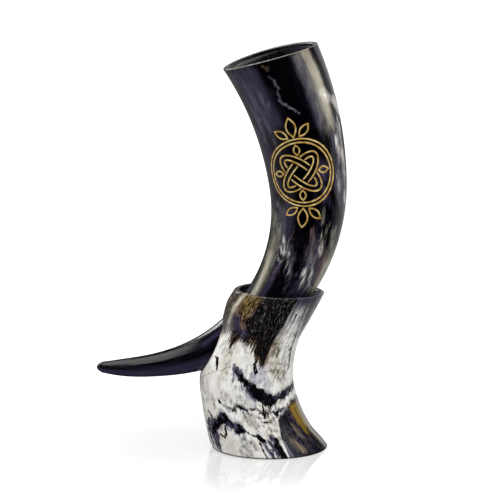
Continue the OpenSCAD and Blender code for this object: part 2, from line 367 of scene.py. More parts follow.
darkHorn = {
    "wide": 160,  # millimetres round, as the strokes measure them
    # scale, stretch along the grain, seed, detail, roughness
    "noises": {
        "fibres": (34, 20, 3.1), "streaks": (15, 6, 7.7), "wisps": (11, 3.2, 4.4, 6, 0.62),
        "clouds": (3.6, 3, 1.9, 3),
    },
    "shader": {"Specular IOR Level": 0.46},
    "smear": (0.35, 0.7, 0.15, 0.28),  # from a noise's span to roughness
    "bump": (0.35, 0.0004),
    "black": paint(2, 1, 4), "violet": paint(57, 50, 77), "lilac": paint(106, 102, 118),
    "ash": paint(136, 136, 120), "mauve": paint(102, 86, 88), "bone": paint(228, 226, 220),
    "cream": paint(164, 156, 138), "brown": paint(84, 66, 52), "edge": paint(122, 120, 114),
    # each stroke goes from a turn in thousandths and a place in millimetres to another such pair,
    # with its half width in millimetres and its strength in tenths
    "strokes": {
        "violet": [
            (350, 2, 365, 46, 9, 9), (405, 2, 415, 46, 8, 9), (330, 50, 345, 100, 7, 6),
            # the first stroke on the next line is violet horn colour that also stands in for a dim lamp's
            # reflection beside the stripe: partly painted reflection
            (588, 8, 592, 55, 6, 8), (560, 84, 575, 108, 5, 7), (410, 112, 405, 140, 6, 7),
            (412, 164, 415, 200, 4, 10), (560, 172, 560, 200, 8, 5), (375, 240, 400, 254, 6, 8),
            (590, 225, 590, 258, 12, 8), (590, 258, 590, 340, 19, 9), (100, 10, 120, 120, 10, 6),
            (900, 30, 880, 160, 12, 7), (800, 150, 850, 240, 8, 6), (150, 200, 120, 330, 9, 6),
        ],
        "lilac": [
            (345, 44, 430, 31, 2, 6), (375, 10, 380, 30, 3, 5), (600, 20, 605, 50, 2.5, 5),
            (660, 62, 650, 112, 9, 9), (565, 88, 568, 104, 0.9, 7), (600, 84, 605, 100, 2, 5),
            (345, 114, 378, 119, 3.6, 8), (370, 122, 385, 150, 6, 6), (432, 149, 455, 158, 2.8, 9),
            (455, 158, 488, 166, 3, 9), (545, 146, 605, 170, 9, 7), (700, 10, 715, 40, 5, 6),
            (705, 80, 712, 130, 7, 8), (120, 30, 100, 90, 6, 7), (860, 80, 840, 130, 7, 8),
            (160, 130, 180, 180, 6, 7), (930, 170, 950, 220, 5, 6), (360, 12, 372, 34, 2.6, 6),
            (385, 32, 395, 62, 2.8, 5.5), (342, 30, 352, 60, 3, 5), (408, 12, 410, 40, 1.8, 5),
            (575, 150, 620, 176, 6, 6), (440, 146, 470, 156, 3, 5),
        ],
        # grey patches of the horn, partly painted highlight: the first stroke softens the painted stripe on
        # the upper right, and strokes beside the painted streak on the lower left widen it
        "ash": [
            (606, -4, 622, 58, 9, 4.5), (368, 160, 380, 200, 4.5, 5), (310, 126, 330, 164, 8, 6),
            (362, 134, 365, 162, 4.5, 8), (345, 165, 350, 200, 5, 3), (563, 114, 567, 126, 1.6, 7),
            (598, 127, 575, 135, 2, 6), (640, 131, 668, 150, 5, 8), (612, 43, 628, 54, 3.4, 6),
            (695, 146, 710, 174, 7, 9), (200, 110, 220, 160, 5, 7), (820, 120, 800, 165, 5, 7),
            (655, 148, 672, 170, 4, 7), (330, 132, 350, 150, 5, 6),
        ],
        "mauve": [
            (522, 130, 538, 138, 2.8, 9), (615, 146, 655, 163, 6, 9), (545, 143, 550, 149, 2, 5),
            (900, 130, 910, 150, 5, 6),
        ],
        "black": [
            (500, 0, 505, 46, 10, 10), (668, 8, 674, 27, 2.8, 10), (572, 97, 620, 111, 3, 10),
            (620, 111, 680, 126, 3.2, 10), (490, 132, 505, 158, 5.5, 9), (450, 172, 465, 192, 7, 9),
            (300, 225, 300, 340, 14, 10), (440, 258, 440, 340, 3.5, 9),
        ],
        "bone": [
            (655, 70, 668, 82, 4, 10), (690, 60, 700, 110, 4, 7), (640, 92, 645, 104, 2.2, 5),
            (400, 139, 405, 146, 1.6, 8), (418, 144, 422, 153, 2.6, 10), (385, 150, 425, 154, 1.8, 8),
            (392, 159, 420, 161, 1.8, 8), (443, 153, 452, 160, 1.8, 7), (470, 162, 480, 165, 1.4, 5),
            (574, 137, 594, 145, 2.2, 10), (555, 147, 560, 152, 1.4, 6), (540, 160, 570, 169, 2.2, 9),
            (585, 159, 600, 168, 2.4, 10), (605, 170, 632, 172, 1.8, 8), (650, 150, 665, 160, 2, 5),
            (690, 150, 700, 174, 3, 7), (210, 130, 200, 145, 3, 8), (800, 145, 810, 170, 3, 8),
            (50, 90, 60, 110, 2.5, 6),
        ],
        # mostly painted highlight: the stripe down the upper right and the streak down the lower left stand
        # in for lamp reflections, over the horn's own cream streaks
        "cream": [
            (622, -4, 633, 30, 4.6, 8), (633, 30, 638, 58, 4.8, 7), (640, 44, 645, 62, 3, 5),
            (655, 152, 672, 172, 5, 7), (332, 160, 354, 200, 6, 8.5), (345, 146, 334, 162, 3, 4),
        ],
        # painted highlight: a glint near the upper right edge and its trail along the edge, laid in bone
        # colour over a pale patch of the horn
        "glint": [
            (641, 38.6, 645, 39.6, 2.2, 10), (638, 37, 652, 41.5, 5, 4.5), (660, 41, 695, 46, 3.6, 4),
            (695, 45, 730, 54, 5, 8),
        ],
        "crack": [  # below the mouth
            (468, 10.5, 480, 15, 0.8, 3.5), (480, 15, 477, 19, 1, 9), (477, 19, 484, 21.5, 0.9, 6),
            (484, 21.5, 472, 24.5, 0.8, 3.5), (472, 24.5, 475, 27.5, 1, 5), (475, 27.5, 469, 30.5, 1, 4.5),
            (469, 30.5, 476, 33.5, 1.2, 8), (476, 33.5, 486, 35, 1.3, 9), (486, 35, 494, 38, 1.1, 6),
            (494, 38, 505, 39.5, 1, 10), (505, 39.5, 511, 42, 1.1, 8), (511, 42, 521, 44, 0.9, 6),
        ],
        "brown": [
            (466, 1.5, 470, 3.2, 1, 8), (472, 4.2, 475, 6.4, 0.9, 7), (480, 3.6, 481, 6, 0.8, 4),
        ],
    },
}


def darkHornMaterial():
    material, tree = newMaterial("polishedDarkHorn")
    vector, side, along = grainPlaces(tree)
    depth = wallDepth(tree)
    fibres, streaks, wisps, clouds = [grainNoise(vector, *noise) for noise in darkHorn["noises"].values()]
    wide = darkHorn["wide"]
    raggedSide = shifted(shifted(side, wisps, 0.024), streaks, 0.014)
    raggedAlong = shifted(shifted(along, fibres, 0.020), wisps, 0.010)
    ragged = strokePlace(raggedSide, raggedAlong, wide)
    fine = strokePlace(shifted(side, streaks, 0.006), shifted(along, fibres, 0.003), wide)
    threads = fibres.fade(0.42, 0.62)
    bands = streaks.fade(0.42, 0.60)
    tufts = wisps.fade(0.40, 0.58)

    def marks(name, place=ragged):
        return strokeMask(place, wide, darkHorn["strokes"][name])

    def coat(under, mask, name):  # lays a colour over those before it
        return tint(mask, under, darkHorn[name])

    colour = tint(clouds.fade(0.46, 0.70, 0.2), darkHorn["black"], darkHorn["violet"])
    colour = coat(colour, marks("violet") * threads.partly(0.7) * bands.partly(0.8), "violet")
    colour = coat(colour, marks("lilac") * bands.partly(0.35) * threads.partly(0.6), "lilac")
    # ash: grey patches of the horn, partly painted highlight beside the painted stripe and streak
    colour = coat(colour, marks("ash") * tufts.partly(0.35) * threads.partly(0.6), "ash")
    colour = coat(colour, marks("mauve") * bands.partly(0.5), "mauve")
    middle = along.fade(0.126, 0.142) * along.fade(0.184, 0.172)
    middle = middle * side.fade(0.34, 0.38) * side.fade(0.70, 0.66)
    mottle = tint(bands, darkHorn["mauve"], darkHorn["lilac"])
    colour = tint(middle * wisps.fade(0.50, 0.62) * threads.partly(0.4) * 0.65, colour, mottle)
    colour = coat(colour, marks("black") * threads.partly(0.9), "black")
    colour = coat(colour, marks("bone") * tufts.partly(0.15) * bands.partly(0.5), "bone")
    # cream: mostly painted highlight, the stripe on the upper right and the streak on the lower left, over
    # the horn's own cream streaks
    colour = coat(colour, marks("cream") * threads.partly(0.65), "cream")
    # painted highlight of the glint, in bone colour over a pale patch
    colour = coat(colour, marks("glint", fine) * bands.partly(0.7), "bone")
    colour = coat(colour, marks("crack", fine) * tufts.partly(0.45), "lilac")
    colour = coat(colour, marks("brown", fine) * tufts.partly(0.4), "brown")
    colour = coat(colour, depth.fade(0.03, 0.2) * depth.fade(1.0, 0.9) * bands.partly(0.6), "edge")
    colour = tint(depth.fade(0.88, 0.98), colour, filmColour(vector, side)[0])
    smear = fibres.timesPlus(0.5, clouds * 0.5)
    relief = clouds.timesPlus(3, streaks.timesPlus(0.3, fibres * 0.06))
    return finishMaterial(material, darkHorn, colour, smear, relief)


# Marbled horn finish

marbledHorn = {
    "wide": 207,
    "noises": {
        "fibres": (30, 14, 5.3), "flecks": (46, 4.5, 8.1, 2), "teeth": (24, 4, 2.2), "lumps": (8, 1.5, 9.4),
        "clouds": (2.4, 1.8, 4.6, 3), "dust": (75, 1.6, 6.6, 1), "stains": (15, 2.0, 3.7, 6, 0.64),
    },
    "tallest": 0.13,  # height at the top of the lines below
    "thickest": 0.01,
    "shader": {"Specular IOR Level": 0.4},
    "smear": (0.35, 0.7, 0.13, 0.26),
    "bump": (0.35, 0.0004),
    "white": paint(244, 244, 241), "cream": paint(228, 225, 217), "beige": paint(190, 180, 158),
    "lilac": paint(158, 156, 176), "grey": paint(128, 126, 128), "olive": paint(104, 98, 76),
    "slate": paint(76, 70, 92), "smoke": paint(66, 64, 66), "violet": paint(42, 36, 58),
    "black": paint(7, 6, 10), "brown": paint(96, 74, 52), "rust": paint(110, 72, 56),
    "bronze": paint(92, 76, 36), "umber": paint(26, 20, 14), "amber": paint(152, 130, 66),
    "gold": paint(154, 122, 6), "tan": paint(156, 138, 112),
    # turn from back to back, then height as a share of the tallest, or half width as a share of the thickest
    "lines": {
        "darkTop": [
            (0, 0.52), (0.08, 0.6), (0.16, 0.58), (0.24, 0.66), (0.3, 0.685), (0.37, 0.685), (0.38, 0.68),
            (0.39, 0.662), (0.402, 0.615), (0.412, 0.635), (0.42, 0.658), (0.432, 0.65), (0.46, 0.648),
            (0.475, 0.642), (0.488, 0.622), (0.51, 0.578), (0.525, 0.545), (0.54, 0.522), (0.549, 0.535),
            (0.554, 0.6), (0.558, 0.68), (0.563, 0.8), (0.572, 0.95), (0.62, 1), (0.76, 1), (0.82, 0.8),
            (0.88, 0.62), (0.94, 0.56), (1, 0.52),
        ],
        "upperVein": [
            (0, 0.37), (0.1, 0.42), (0.18, 0.35), (0.25, 0.38), (0.35, 0.46), (0.44, 0.519), (0.46, 0.485),
            (0.48, 0.458), (0.5, 0.426), (0.52, 0.395), (0.54, 0.356), (0.56, 0.341), (0.58, 0.326),
            (0.594, 0.325), (0.605, 0.338), (0.63, 0.347), (0.66, 0.355), (0.7, 0.369), (0.75, 0.385),
            (0.82, 0.36), (0.88, 0.33), (0.94, 0.4), (1, 0.37),
        ],
        "upperVeinWidth": [
            (0, 0.26), (0.1, 0.14), (0.18, 0.24), (0.25, 0.06), (0.3, 0), (0.445, 0), (0.452, 0.03),
            (0.462, 0.1), (0.48, 0.24), (0.5, 0.34), (0.52, 0.5), (0.54, 0.56), (0.56, 0.6), (0.58, 0.5),
            (0.594, 0.3), (0.605, 0.26), (0.63, 0.3), (0.66, 0.3), (0.7, 0.26), (0.75, 0.22), (0.86, 0.14),
            (0.94, 0.3), (1, 0.26),
        ],
        "middleVein": [
            (0, 0.24), (0.15, 0.28), (0.3, 0.3), (0.393, 0.323), (0.403, 0.3), (0.415, 0.289),
            (0.445, 0.28), (0.455, 0.292), (0.463, 0.297), (0.478, 0.289), (0.49, 0.275), (0.505, 0.282),
            (0.52, 0.285), (0.53, 0.265), (0.545, 0.257), (0.555, 0.262), (0.578, 0.246), (0.588, 0.248),
            (0.6, 0.262), (0.63, 0.274), (0.8, 0.3), (1, 0.24),
        ],
        "middleVeinWidth": [
            (0, 0.06), (0.15, 0.04), (0.3, 0), (0.39, 0), (0.397, 0.09), (0.43, 0.08), (0.455, 0.14),
            (0.463, 0.22), (0.478, 0.18), (0.49, 0.12), (0.52, 0.08), (0.53, 0.11), (0.545, 0.12),
            (0.555, 0.2), (0.565, 0.12), (0.578, 0.1), (0.588, 0.14), (0.6, 0.1), (0.63, 0.06), (0.64, 0),
            (0.8, 0.05), (1, 0.06),
        ],
        "lowerVein": [
            (0, 0.1), (0.12, 0.16), (0.2, 0.08), (0.27, 0.1), (0.3, 0.1), (0.32, 0.11), (0.34, 0.13),
            (0.36, 0.16), (0.38, 0.198), (0.395, 0.222), (0.41, 0.21), (0.425, 0.186), (0.435, 0.17),
            (0.45, 0.168), (0.463, 0.168), (0.48, 0.138), (0.493, 0.126), (0.506, 0.114), (0.52, 0.092),
            (0.54, 0.07), (0.6, 0.02), (0.8, 0.02), (0.9, 0.14), (1, 0.1),
        ],
        "lowerVeinWidth": [
            (0, 0.2), (0.12, 0.3), (0.2, 0.24), (0.27, 0), (0.32, 0), (0.335, 0.2), (0.345, 0.36),
            (0.36, 0.4), (0.38, 0.44), (0.395, 0.5), (0.41, 0.52), (0.425, 0.44), (0.435, 0.38),
            (0.45, 0.44), (0.463, 0.38), (0.469, 0.14), (0.48, 0.1), (0.493, 0.1), (0.498, 0.24),
            (0.506, 0.36), (0.513, 0.18), (0.52, 0.05), (0.54, 0), (0.8, 0), (0.9, 0.24), (1, 0.2),
        ],
        "darkFoot": [
            (0, 0.02), (0.1, 0.06), (0.2, 0.05), (0.28, 0.04), (0.31, 0), (0.545, 0), (0.554, 0.01),
            (0.561, 0.062), (0.57, 0.123), (0.586, 0.219), (0.6, 0.238), (0.63, 0.269), (0.66, 0.304),
            (0.7, 0.315), (0.78, 0.3), (0.85, 0.18), (0.92, 0.07), (1, 0.02),
        ],
    },
    # strokes measured as on the dark horn
    "strokes": {
        "clean": [
            (335, 50, 350, 84, 16, 9), (385, 50, 405, 66, 13, 9), (370, 38, 430, 46, 9, 8),
            (375, 9, 420, 6, 9, 7), (455, 74, 490, 76, 9, 8), (590, 56, 640, 58, 9, 6),
        ],
        "beige": [
            (570, 72, 612, 63, 8, 7), (400, 74, 415, 60, 6, 5), (365, 15, 425, 6, 9, 5),
            (566, 92, 556, 72, 7, 8), (340, 62, 350, 44, 8, 3), (480, 30, 500, 22, 5, 4),
        ],
        "murk": [
            (455, 39, 530, 35, 8, 10), (530, 34, 600, 32, 8, 10), (485, 31, 520, 25, 7, 9),
            (440, 18, 450, 4, 5, 8), (470, 16, 475, 6, 4, 6), (540, 19, 560, 10, 6, 10),
            (330, 24, 345, 5, 9, 8), (555, 66, 650, 61, 6, 9), (580, 92, 595, 74, 8, 9),
            (505, 66, 545, 58, 8, 8), (390, 88, 412, 76, 6, 7), (620, 88, 670, 70, 9, 9),
            (420, 47, 445, 33, 6, 6), (480, 52, 520, 44, 7, 7), (420, 64, 425, 60, 4, 7),
            (560, 28, 530, 26, 5, 9), (600, 58, 660, 54, 6, 6), (430, 82, 470, 78, 5, 5),
            (310, 56, 320, 47, 5, 5), (60, 70, 100, 30, 14, 9), (180, 60, 200, 20, 12, 8),
            (860, 80, 900, 30, 14, 9), (760, 80, 770, 50, 10, 8), (970, 90, 980, 50, 10, 8),
        ],
        "grey": [
            (445, 14, 450, 3, 3.4, 7), (455, 15, 458, 9, 2.2, 7), (430, 7, 435, 3, 2.4, 6),
            (500, 31, 505, 25, 4.4, 6), (365, 44, 375, 36, 2.4, 4.5), (310, 55, 315, 48, 3.4, 5),
            (560, 28, 570, 24, 2.4, 6), (430, 48, 440, 42, 2.4, 4), (575, 90, 570, 76, 2.4, 5),
            (625, 78, 640, 66, 4, 6), (470, 45, 490, 42, 3.2, 5), (610, 60, 640, 54, 3.5, 5),
            (400, 60, 405, 48, 2, 3.5), (345, 56, 350, 44, 2, 3.5), (100, 40, 130, 20, 6, 6),
            (880, 70, 900, 40, 6, 6), (200, 60, 210, 45, 4, 5), (375, 88, 380, 76, 2, 6),
            (328, 90, 332, 80, 2.2, 6), (350, 90, 354, 79, 1.8, 5), (362, 89, 366, 82, 1.6, 5),
        ],
        "lilac": [
            (540, 69, 552, 58, 5, 9), (520, 64, 530, 58, 3.4, 8), (490, 52, 520, 44, 4.2, 8),
            (560, 58, 580, 54, 4.4, 6), (450, 66, 456, 58, 2.6, 7), (310, 16, 320, 6, 4.4, 6),
            (505, 40, 520, 39, 2, 5), (415, 44, 425, 34, 2.2, 4), (150, 25, 160, 10, 5, 7),
            (940, 60, 950, 40, 5, 6),
        ],
        "olive": [
            (535, 17, 565, 13, 3.2, 10), (455, 39.5, 480, 38, 2.8, 9), (430, 36, 446, 36, 2.4, 8),
            (475, 13, 478, 8, 2.6, 7), (578, 82, 592, 77, 4.2, 9), (562, 27.5, 530, 26.5, 1.8, 9),
            (410, 69, 415, 66, 1.6, 7), (420, 62.5, 424, 61, 2.2, 10), (560, 70.5, 630, 68, 1.3, 7),
            (560, 64.5, 600, 63.5, 1.5, 8), (600, 64, 640, 60, 1.8, 8), (395, 42, 400, 40, 2, 7),
            (370, 39, 372, 35, 1.6, 6), (335, 64, 340, 63, 1.5, 6), (600, 35, 630, 33, 1.6, 7),
            (545, 22, 565, 20, 2, 6), (50, 60, 80, 50, 2.5, 7), (800, 80, 820, 66, 3, 7),
            (485, 31, 495, 26, 3, 6), (420, 72, 430, 66, 2, 3),
        ],
        "slate": [
            (350, 28, 330, 31, 2.2, 6), (441, 69, 452, 63, 2, 8), (452, 66, 474, 60, 2.8, 9),
            (446, 62, 452, 58, 1.6, 6), (470, 66, 480, 62, 2, 7), (500, 50, 525, 44, 2.2, 7),
        ],
        "smoke": [
            (622, 112, 640, 94, 2.2, 9), (640, 94, 658, 84, 2, 9), (658, 86, 662, 76, 2.2, 9),
            (662, 76, 672, 64, 2.2, 9), (575, 106, 562, 86, 3.6, 6), (640, 117, 668, 97, 6.5, 9),
            (668, 97, 685, 88, 4, 7),
        ],
        "brown": [
            (387, 92, 398, 84, 3, 10), (398, 84, 406, 78, 2.8, 9), (410, 88, 418, 82, 2.2, 8),
            (440, 86, 455, 83, 2.6, 8), (528, 76, 542, 69.5, 2.4, 9), (560, 84, 547, 70, 4.4, 8),
            (480, 84, 490, 80, 1.8, 6),
        ],
        "black": [
            (350, 72.4, 364, 70.6, 1.2, 9), (362, 71.4, 372, 67.5, 2.2, 10), (370, 68, 378, 64.2, 1.6, 10),
            (547, 41, 544.5, 35, 0.9, 10), (544.5, 35, 541, 29.5, 0.9, 9), (401, 23, 397, 17, 1.3, 10),
            (397, 17, 388, 13.6, 1.4, 10), (388, 13.6, 372, 15.6, 1.2, 10), (550, 14, 545, 6, 2.2, 10),
            (541, 9, 541, 0.5, 3.4, 10), (497, 12, 494, 0.5, 1.1, 6), (519, 7, 513, 0.5, 1.5, 6),
            (503, 81, 517, 73, 2.4, 10), (519, 73, 515, 69, 2, 9), (515, 69, 527, 63.5, 2, 10),
            (460, 66, 475, 62.5, 1.2, 7), (585, 30, 600, 34.5, 1, 8), (655, 92, 656, 84, 1.1, 7),
            (480, 57, 488, 50, 0.8, 5), (462, 38.8, 474, 37.4, 1.8, 9), (478, 37, 492, 35.6, 1.2, 8),
            (526, 33.4, 536, 33.2, 1, 6), (549, 34.8, 558, 32.6, 1, 6), (576, 34, 582, 31.3, 1.2, 9),
            (582, 31.3, 591, 33.6, 1.2, 9), (604, 34.6, 613, 35, 1.2, 7), (396, 41.5, 402, 40, 1.6, 7),
            (535, 27, 550, 26.4, 1, 6),
        ],
        "bruise": [
            (328, 23, 350, 13, 5.5, 9), (347, 15, 344, 4, 4.4, 9), (358, 24, 338, 20, 5.5, 9),
            (310, 21, 330, 12, 3.4, 8), (334, 31, 343, 27, 1.6, 8), (300, 16, 318, 6, 2.6, 7),
            (509, 12, 512, 1, 1.7, 7), (528, 13, 531, 2, 2.4, 8), (539, 16, 541, 9, 2.6, 8),
            (505, 52, 530, 45, 2.6, 6), (455, 66, 482, 60, 2.2, 6),
        ],
        "stripe": [
            (508, 12, 512, 1, 3, 8), (526, 14, 528, 2, 2.4, 7), (568, 12, 565, 1, 1.4, 6),
        ],
        "blotch": [
            (318, 119, 307, 112, 2.8, 8), (306, 112, 297, 103, 3.2, 8), (330, 104, 322, 97, 2.4, 6),
        ],
        "dusk": [
            (362, 103, 396, 96, 6, 10), (400, 97, 432, 91, 4.4, 10),
        ],
        "haze": [
            (335, 98, 345, 88, 7, 9), (358, 97, 368, 90, 4.5, 8), (310, 98, 318, 88, 6, 8),
        ],
        "amber": [
            (388, 119, 396, 106, 4.8, 9), (412, 119, 416, 106, 4.8, 9), (404, 104, 412, 96, 3.4, 7),
            (368, 119, 366, 106, 3.6, 8), (432, 118, 430, 110, 3, 6),
        ],
        # painted highlight: the cream streak down the left shoulder of the top
        "gleam": [
            (357, 119, 344, 106, 3.8, 6), (344, 106, 337, 99, 3.6, 3.5),
        ],
        "white": [
            (565, 13, 554, 1, 1, 7),
        ],
        # painted reflection: a pale rim along the right edge of the dark foot
        "beigeFoot": [
            (712, 36, 722, 17, 6, 8.5), (724, 16, 732, 4, 5, 6),
        ],
        "tanFoot": [
            (700, 28, 714, 18, 5, 6), (600, 13, 612, 4, 2.8, 8), (630, 22, 642, 14, 2.6, 4),
        ],
        "goldFoot": [
            (672, 34, 681, 24, 7, 10), (681, 26, 685, 16, 5, 10),
        ],
        "blackFoot": [
            (665, 38, 695, 38, 3.6, 10), (694, 16, 698, 1, 3.6, 10), (595, 27, 600, 14, 3, 6),
            (676, 32, 684, 19, 1.1, 8),
        ],
    },
}


def marbledHornMaterial():
    material, tree = newMaterial("polishedMarbledHorn")
    vector, side, height = grainPlaces(tree)
    depth = wallDepth(tree)
    noises = [grainNoise(vector, *noise) for noise in marbledHorn["noises"].values()]
    fibres, flecks, teeth, lumps, clouds, dust, stains = noises
    wide, tallest = marbledHorn["wide"], marbledHorn["tallest"]
    jag = shifted(shifted(height.calc("DIVIDE", tallest), teeth, 0.03), stains, 0.07)
    raggedHeight = shifted(shifted(height, teeth, 0.006), stains, 0.006)
    ragged = strokePlace(shifted(side, stains, 0.014), raggedHeight, wide)
    fine = strokePlace(shifted(side, stains, 0.006), shifted(height, teeth, 0.002), wide)
    threads = fibres.fade(0.40, 0.62)
    tufts = stains.fade(0.40, 0.58)
    grit = shifted(shifted(1, teeth, 2.2), flecks, 1.8)

    def over(name, value=side):
        return lineOver(value, marbledHorn["lines"][name])

    def marks(name, place=ragged):
        return strokeMask(place, wide, marbledHorn["strokes"][name])

    def ink(name, place=ragged):  # full colour with a ragged edge
        return (marks(name, place) * grit).fade(0.36, 0.58)

    def vein(name):  # its core, then the fringe round it
        gap = (jag - over(name)).calc("ABSOLUTE")
        half = over(name + "Width") * lumps.timesPlus(0.8, 0.6) * (marbledHorn["thickest"] / tallest)
        room = half - gap
        fringe = room.fade(-0.035, 0.0, 0.75) * half.fade(0.008, 0.03) * tufts
        return shifted(room, flecks, 0.03).fade(-0.005, 0.006), fringe

    def mixed(noise, *stops):  # colours over a noise
        return ramp(noise, [(place, marbledHorn[name]) for place, name in stops])

    def coat(under, mask, name):  # lays a colour over those before it
        return tint(mask, under, marbledHorn[name])

    # pale ground with its stains
    colour = mixed(clouds, (0.38, "white"), (0.54, "cream"), (0.62, "white"), (0.76, "cream"))
    colour = coat(colour, lumps.fade(0.50, 0.70) * threads.partly(0.3) * 0.28, "lilac")
    colour = coat(colour, marks("beige") * tufts.partly(0.6), "beige")
    worn = 1 - marks("clean")
    colour = coat(colour, stains.fade(0.55, 0.72, 0.35) * worn, "grey")
    murk = mixed(stains, (0.50, "grey"), (0.56, "olive"), (0.62, "slate"), (0.68, "black"))
    colour = tint(marks("murk") * stains.fade(0.49, 0.60, 0.85), colour, murk)
    for name, least in (("grey", 0.4), ("lilac", 0.65), ("olive", 0.4)):
        colour = coat(colour, marks(name) * tufts.partly(least), name)
    colour = coat(colour, ink("slate") * 0.9, "slate")
    colour = coat(colour, fibres.fade(0.53, 0.66, 0.3) * worn, "grey")

    # streaks at the top of the right side
    sides = side.fade(0.556, 0.580) * side.fade(0.86, 0.74) * height.fade(0.086, 0.106)
    sideStops = [
        (0.41, "violet"), (0.47, "slate"), (0.50, "white"), (0.55, "white"), (0.58, "grey"), (0.62, "violet"),
    ]
    colour = tint(sides * 0.95, colour, mixed(fibres, *sideStops))
    flank = side.fade(0.625, 0.68) * side.fade(0.86, 0.74) * height.fade(0.078, 0.100, 0.75)
    colour = coat(colour, flank * threads.partly(0.6), "slate")
    brow = side.fade(0.556, 0.57) * side.fade(0.72, 0.64) * jag.fade(0.79, 0.89, 0.95)
    colour = coat(colour, brow, "violet")
    colour = coat(colour, marks("smoke") * tufts.partly(0.6), "smoke")
    colour = coat(colour, marks("brown") * tufts.partly(0.4), "brown")

    # dark foot
    foot = (over("darkFoot", shifted(side, stains, 0.012)) - jag).fade(-0.01, 0.015)
    footStops = [(0.42, "black"), (0.50, "violet"), (0.55, "umber"), (0.60, "violet"), (0.70, "slate")]
    footColour = mixed(fibres, *footStops)
    footColour = coat(footColour, stains.fade(0.52, 0.61, 0.75), "smoke")
    footColour = coat(footColour, stains.fade(0.47, 0.40, 0.65), "black")
    footColour = coat(footColour, flecks.fade(0.64, 0.70, 0.5), "grey")
    # beigeFoot is a painted reflection, a pale rim along the foot's right edge
    for name, least in (("beige", 0.5), ("tan", 0.4), ("gold", 0.6), ("black", 0.7)):
        footColour = coat(footColour, marks(name + "Foot") * threads.partly(least), name)
    colour = tint(foot, colour, footColour)

    # bruises and veins
    colour = coat(colour, marks("stripe", fine) * threads.partly(0.5), "lilac")
    bruise = mixed(teeth, (0.42, "violet"), (0.55, "slate"), (0.66, "violet"))
    colour = tint(ink("bruise") * 0.97, colour, bruise)
    upper, upperFringe = vein("upperVein")
    lower, lowerFringe = vein("lowerVein")
    middle = vein("middleVein")[0] * tufts.partly(0.6)
    colour = coat(colour, most(upperFringe, lowerFringe), "slate")
    veinTone = shifted(jag.fade(0.24, 0.34, 0.07), lumps, 1) - side.fade(0.585, 0.62, 0.09)
    veinColour = mixed(veinTone + 0.5, (0.36, "slate"), (0.42, "violet"), (0.49, "black"))
    colour = tint(most(upper, lower, middle, ink("black", fine)), colour, veinColour)
    colour = coat(colour, marks("white", fine), "white")

    # dark top
    above = jag - over("darkTop", shifted(side, fibres, 0.020))
    above = shifted(above, fibres, 0.16)
    topColour = mixed(fibres, (0.46, "black"), (0.54, "umber"), (0.60, "black"), (0.68, "umber"))
    topColour = coat(topColour, marks("dusk"), "violet")
    mottle = mixed(flecks, (0.44, "umber"), (0.50, "brown"), (0.55, "umber"), (0.60, "brown"), (0.68, "tan"))
    topColour = tint(side.fade(0.36, 0.33, 0.9) * side.fade(0.06, 0.16), topColour, mottle)
    topColour = coat(topColour, marks("blotch"), "umber")
    topColour = coat(topColour, marks("haze"), "smoke")
    glow = marks("amber")
    warmth = tint(height.fade(0.104, 0.112), marbledHorn["rust"], marbledHorn["bronze"])
    topColour = tint(glow * teeth.fade(0.42, 0.58) * 0.75, topColour, warmth)
    glowColour = mixed(lumps, (0.43, "amber"), (0.48, "rust"), (0.53, "amber"), (0.58, "tan"))
    topColour = tint(glow * flecks.fade(0.47, 0.58), topColour, glowColour)
    # painted highlight on the left shoulder, in beige
    topColour = coat(topColour, marks("gleam", fine), "beige")
    topColour = coat(topColour, flecks.fade(0.58, 0.66, 0.6) * height.fade(0.070, 0.105), "grey")
    hem = above.fade(0.04, 0.0) * lumps.fade(0.44, 0.56) * side.fade(0.562, 0.555)
    topColour = coat(topColour, hem, "brown")
    colour = tint(above.fade(-0.016, 0.016), colour, topColour)

    # dust, painted contact shadow along the foot's bottom edge, and the inside
    colour = coat(colour, dust.fade(0.70, 0.76, 0.6), "grey")
    # painted shadow: darker along the bottom edge where the foot meets the table
    colour = coat(colour, height.fade(0.0018, 0.0006, 0.75), "umber")
    colour = coat(colour, depth.fade(0.5, 1.0, 0.55), "slate")
    return finishMaterial(material, marbledHorn, colour, fibres, clouds.timesPlus(3, fibres * 0.2))


# Gold finish

gold = {
    "pale": paint(242, 216, 144),
    "deep": paint(190, 146, 62),
    "worn": paint(128, 92, 38),
    "cloudScale": 260, "gritScale": 1700,
    "shader": {"Metallic": 0.3},
    "smear": (0.3, 0.7, 0.28, 0.46),
    "bump": (0.3, 0.0002),
}


def goldMaterial():
    material, tree = newMaterial("goldFill")
    places = made(tree, "TexCoord", output="Object")
    cloud = made(tree, "TexNoise", {"Vector": places, "Scale": gold["cloudScale"], "Detail": 3})
    grit = made(tree, "TexNoise", {"Vector": places, "Scale": gold["gritScale"], "Detail": 2})
    colour = tint(cloud.fade(0.35, 0.68), gold["deep"], gold["pale"])
    colour = tint(grit.fade(0.62, 0.75), colour, gold["worn"])
    return finishMaterial(material, gold, colour, grit, grit)


# Horn

